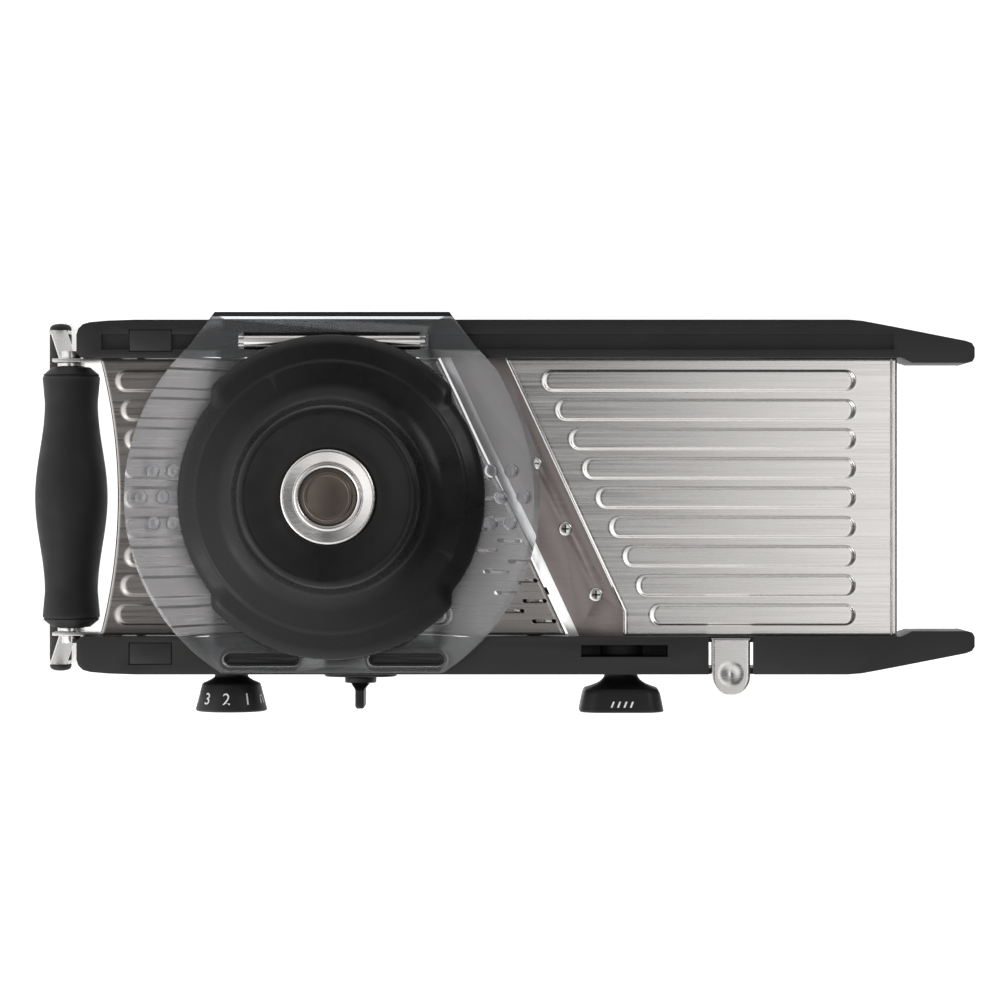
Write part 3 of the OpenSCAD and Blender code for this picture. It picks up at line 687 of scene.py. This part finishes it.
# Radius of a foot's end at distances back from its tip
FOOT_END = [(0, 3.2), (5.1, 3.2), (5.17, 2.8), (5.0, 1.7), (4.2, 0.8), (2.9, 0.25), (1.4, 0.04), (0, 0.02)]


def build_foot_caps(bm):
    """Round rubber ends on the stand's foot."""
    low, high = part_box("foot_caps")
    centre, end, steps = (low + high) / 2, (high.y - low.y) / 2 / MM, 48
    for side in (-1, 1):
        rings = []
        for r, back in FOOT_END:
            turns = [2 * math.pi * k / steps for k in range(steps if r else 1)]
            y = side * (end - back)
            rings.append([bm.verts.new(centre + Vector((r * math.cos(a), y, r * math.sin(a))) * MM)
                          for a in turns])
        join_rings(bm, rings, steps)


def build_spring(bm):
    """The plunger's coil spring, which fills its node's height."""
    low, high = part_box("plunger_spring")
    coil, wire, turns, steps, sides = 9.5, 0.95, 6, 48, 12
    start, rise = low.z / MM + 1.0, (high.z - low.z) / MM - 2.05
    slope = Vector((0, 2 * math.pi * coil * turns, rise)).normalized()
    rings = []
    for k in range(turns * steps + 1):
        turn = 2 * math.pi * k / steps
        out = Vector((math.cos(turn), math.sin(turn), 0))
        along = Vector((-math.sin(turn) * slope.y, math.cos(turn) * slope.y, slope.z))
        middle = Vector((GUARD.x, GUARD.y, 0)) / MM + coil * out
        middle.z = start + rise * k / (turns * steps)
        ring = [(middle + wire * (math.cos(a) * out + math.sin(a) * along.cross(out))) * MM
                for a in (2 * math.pi * m / sides for m in range(sides))]
        rings.append([bm.verts.new(place) for place in ring])
    join_rings(bm, rings, sides)
    bm.faces.new(rings[0])
    bm.faces.new(rings[-1])


# ---- Hand guard's small parts ----
GUARD_X, PLATE_TOP, GLIDE_Y = -74.8, 9.0, -71.2


# The bumps' rows: Y, then the two distances from the guard's middle
BUMP_ROWS = ((-11.4, 69.5, 77.9), (0, 73.9, 83.6), (11.4, 69.5, 78.3))


def upright_rings(bm, x, y, profile, steps):
    """Rings of points round an upright axis, for a profile of (radius, height)."""
    turns = [2 * math.pi * k / steps for k in range(steps)]
    return [[bm.verts.new(at(x + r * math.cos(a), y + r * math.sin(a), z))
             for a in turns[:steps if r > 0 else 1]] for r, z in profile]


def build_bumps(bm):
    """Low clear lenses on both sides of the guard, for the thumb and fingers."""
    steps, foot = 32, PLATE_TOP + 0.02
    sweep = [math.pi / 2 * k / 8 for k in range(9)]
    profile = [(3.0 * math.sin(t), foot + max(0.95 * math.cos(t) ** 1.2, 0)) for t in sweep]
    for y, near, far in BUMP_ROWS:
        for x in (-far, -near, near, far):
            join_rings(bm, upright_rings(bm, GUARD_X + x, y, profile + [(0, foot)], steps), steps)


# Places of the blade's screws, a share of its depth behind the edge
SCREWS = [(edge_at(y) + 0.7 * BLADE_DEPTH, y) for y in (-43, -14, 14.6)]
SCREW_PROFILE = [(0, -5.6), (1.55, -5.6), (1.55, 0.0), (3.05, 0.0), (3.05, 0.15), (2.85, 0.42), (2.4, 0.62),
                 (1.5, 0.78), (0, 0.84)]


def build_screw_heads(bm):
    for x, y in SCREWS:
        join_rings(bm, upright_rings(bm, x, y, SCREW_PROFILE, 48), 48)


def build_cross_shade(bm):
    """Dark crosses set in the screws' heads, each of two bars: painted shade where the cross recesses would
    be, as the heads are not cut.
    """
    for x, y in SCREWS:
        for a, b in ((1.75, 0.36), (0.36, 1.75)):
            prism(bm, [(x - a, y - b), (x + a, y - b), (x + a, y + b), (x - a, y + b)], 0.3, 0.86)


def glide_builder(x):
    """A pad with round ends, sunk a little in its slot, with a shallow trough along it."""
    def build(bm):
        rings = []
        for inset, z in ((0.08, 6.1), (0.08, 8.3), (0.4, 8.6), (0.9, 8.6), (1.3, 8.2), (1.9, 8.1)):
            outline = stadium(GUARD_X + x, GLIDE_Y, 33 - 2 * inset, 5.8 - 2 * inset, 10)
            rings.append([bm.verts.new(at(u, v, z)) for u, v in outline])
        bm.faces.new(rings[0])
        join_rings(bm, rings, len(rings[0]))
        bm.faces.new(rings[-1])
    return build


# ---- Pieces that stand for CAD nodes ----
make_piece("landing_deck_pressed", build_landing, "frame", "brushed_steel", ["landing_deck"])
# The runway takes the darker steel copy, whose darker tone is painted shade.
runway = make_piece("runway_pressed", build_runway, "runway", "brushed_steel", ["runway"], RUNWAY_STEEL_SHADED)
cut(runway, julienne_slots)
make_piece("plunger_dome", build_dome, "plunger", "dome_plastic", ["dome"])
make_piece("plunger_ring", build_dome_ring, "plunger", "brushed_steel", ["dome_ring"])
make_piece("handle_grip", build_grip, "frame", "rubber", ["grip"])
make_piece("release_tongue", build_tab, "release", "brushed_steel", ["release_tab"])
make_piece("thickness_dial", build_dial, "dial", "rail_plastic", ["dial_knob"])
make_piece("cut_selector", build_selector, "selector", "rail_plastic", ["selector_knob"])
make_piece("stand_foot_ends", build_foot_caps, "stand", SLOT_OF["foot_caps"], ["foot_caps"])
spring = make_piece("plunger_coil", build_spring, "plunger", "bright_steel", ["plunger_spring"])
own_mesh(spring)
make_piece("lock_flag", build_lock, "lock", "rail_plastic", ["lock_lever"])

for count in range(6):
    numeral = str(count + 1)
    ink("dial_numeral_" + numeral, on_dial(33 - 37.5 * count), "dial", "rail_plastic",
        numeral_outlines(numeral, 5))
ink("dial_padlock", on_dial(70), "dial", "rail_plastic", padlock_outlines())
ink("selector_bars", on_selector, "selector", "rail_plastic",
    [slanted_bar(u) for u in (-4.2, -1.4, 1.4, 4.2)])
make_piece("blade_screw_heads", build_screw_heads, "frame", "bright_steel", ["blade_screws"])
# The screws' crosses in near-black: painted shade of their recesses.
make_piece("blade_screw_recess_shade", build_cross_shade, "frame", "bright_steel", material=RECESS_SHADE)
make_piece("guard_grip_bumps", build_bumps, "guard", "clear_plastic", ["guard_bumps"])
for side, centre_x in (("left", -30.8), ("right", 32.6)):
    make_piece("glide_pad_" + side, glide_builder(centre_x), "guard", "rubber", ["guard_glide_" + side])


# ---- CAD nodes: materials, softened edges and shading ----
EDGE_WIDTH = {"rail_front": 0.9, "rail_back": 0.9, "panel_front": 0.5, "panel_back": 0.5,
              "lock_plate": 0.5, "tip_pad_front": 0.8, "tip_pad_back": 0.8, "guard_plate": 0.45,
              "leg_front": 0.3, "leg_back": 0.3,
              "comb_fine": 0.1, "comb_coarse": 0.1, "prongs": 0.05, "blade": 0.06, "plunger_spring": 0.05,
              "guard_bumps": 0.1, "blade_screws": 0.15}


def shading_group():
    """Node group that drops stored normals and shades smooth across soft edges."""
    group = bpy.data.node_groups.new("smooth_by_angle", "GeometryNodeTree")
    group.interface.new_socket("Geometry", in_out="INPUT", socket_type="NodeSocketGeometry")
    group.interface.new_socket("Geometry", in_out="OUTPUT", socket_type="NodeSocketGeometry")
    start = group.nodes.new("NodeGroupInput")
    end = group.nodes.new("NodeGroupOutput")
    normal = group.nodes.new("GeometryNodeSetMeshNormal")
    angle = group.nodes.new("GeometryNodeInputMeshEdgeAngle")
    sharp = group.nodes.new("FunctionNodeCompare")
    sharp.operation = "GREATER_THAN"
    sharp.inputs["B"].default_value = math.radians(33)
    normal.inputs["Remove Custom"].default_value = True
    group.links.new(angle.outputs["Unsigned Angle"], sharp.inputs["A"])
    group.links.new(sharp.outputs["Result"], normal.inputs["Edge Sharpness"])
    group.links.new(start.outputs[0], normal.inputs["Mesh"])
    group.links.new(normal.outputs["Mesh"], end.inputs[0])
    return group


SHADING = shading_group()


def finish_node(name, node):
    """Gives a CAD node its material and soft edges."""
    node.data.materials.clear()
    node.data.materials.append(MATERIALS[SLOT_OF[name]])
    weld = node.modifiers.new("weld", "WELD")
    weld.merge_threshold = 0.000003
    bevel = node.modifiers.new("soft_edges", "BEVEL")
    bevel.width = EDGE_WIDTH.get(name, 0.25) * MM
    bevel.segments = 2
    bevel.limit_method = "ANGLE"
    bevel.angle_limit = math.radians(38)
    bevel.use_clamp_overlap = True
    shade = node.modifiers.new("shading", "NODES")
    shade.node_group = SHADING


for node_name, node_object in frame["nodes"].items():
    finish_node(node_name, node_object)
plate = frame["nodes"]["guard_plate"]
hook_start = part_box("guard_plate")[1].y - 2.05 * MM - plate.matrix_world.translation.y
plate.data.materials[0] = smoked_from(MATERIALS["clear_plastic"], hook_start)


# ---- Floor, lights, world and camera ----
def make_floor():
    """A large white sheet under the stand."""
    mesh = bpy.data.meshes.new("floor")
    size, z = 4, -0.0005
    corners = [(-size, -size, z), (size, -size, z), (size, size, z), (-size, size, z)]
    mesh.from_pydata(corners, [], [(0, 1, 2, 3)])
    floor = bpy.data.objects.new("floor", mesh)
    bpy.context.scene.collection.objects.link(floor)
    material, tree, shader = new_material("floor_white", (0.86, 0.86, 0.86), 0.85)
    shader.inputs["Emission Color"].default_value = (1, 1, 1, 1)
    shader.inputs["Emission Strength"].default_value = 0.55
    tree.links.new(mix(tree, remap(tree, noise(tree, 3), 0, 1), (0.86, 0.86, 0.86), (0.9, 0.9, 0.9)),
                   shader.inputs["Base Color"])
    mesh.materials.append(material)


def make_area(name, place, target, size, power, colour=(1, 1, 1)):
    """A soft box light at a place, aimed at a target, both in metres."""
    light = bpy.data.lights.new(name, "AREA")
    light.shape = "RECTANGLE"
    light.size, light.size_y = size
    light.energy = power
    light.color = colour
    holder = bpy.data.objects.new(name, light)
    holder.location = place
    holder.rotation_mode = "QUATERNION"
    holder.rotation_quaternion = (Vector(target) - Vector(place)).to_track_quat("-Z", "Y")
    bpy.context.scene.collection.objects.link(holder)


def math_node(tree, operation, a, b):
    """A math node on two sockets or numbers."""
    node = tree.nodes.new("ShaderNodeMath")
    node.operation = operation
    for socket, value in zip(node.inputs, (a, b)):
        if hasattr(value, "links"):
            tree.links.new(value, socket)
        else:
            socket.default_value = value
    return node.outputs["Value"]


def make_world():
    """A studio surround: a bright box overhead to the right, and low light from the left and the front."""
    world = bpy.data.worlds.new("studio")
    bpy.context.scene.world = world
    world.use_nodes = True
    tree = world.node_tree
    background = tree.nodes["Background"]
    coords = tree.nodes.new("ShaderNodeTexCoord")
    split = tree.nodes.new("ShaderNodeSeparateXYZ")
    tree.links.new(coords.outputs["Generated"], split.inputs["Vector"])
    x, y, z = (split.outputs[axis] for axis in "XYZ")
    overhead = remap(tree, z, 0, 1, 0.86, 0.97)
    box = math_node(tree, "MULTIPLY", remap(tree, x, 0.09, 1.5, 0.028, 0.09), overhead)
    left, near = math_node(tree, "MULTIPLY", x, -0.8), math_node(tree, "MULTIPLY", y, -0.6)
    toward = math_node(tree, "ADD", left, near)
    front, back = remap(tree, toward, 0.12, 1.7, -0.3, 0.6), remap(tree, y, 0, 1.1, 0.7, 0.97)
    low = math_node(tree, "ADD", front, back)
    side = math_node(tree, "MULTIPLY", low, math_node(tree, "SUBTRACT", 1, overhead))
    tree.links.new(math_node(tree, "ADD", box, side), background.inputs["Strength"])
    background.inputs["Color"].default_value = (1, 1, 1, 1)


def make_camera():
    """Straight down on the middle of the slide, with 440 mm of it across the frame."""
    camera = bpy.data.cameras.new("camera")
    camera.sensor_width = 36
    height = 1.5
    camera.lens = 36 * height / 0.44
    holder = bpy.data.objects.new("camera", camera)
    holder.location = at(-1.3, -1.3, height / MM)
    holder.rotation_mode = "QUATERNION"
    holder.rotation_quaternion = Vector((0, 0, -1)).to_track_quat("-Z", "Y")
    bpy.context.scene.collection.objects.link(holder)
    bpy.context.scene.camera = holder


make_floor()
make_world()
make_area("key", (1.5, 0.9, 1.3), (0, 0, 0.1), (0.8, 0.8), 8)
make_area("fill", (-1.5, -0.9, 1.0), (0, 0, 0.1), (0.8, 0.8), 5)
make_camera()
bpy.context.scene.view_settings.view_transform = "Standard"
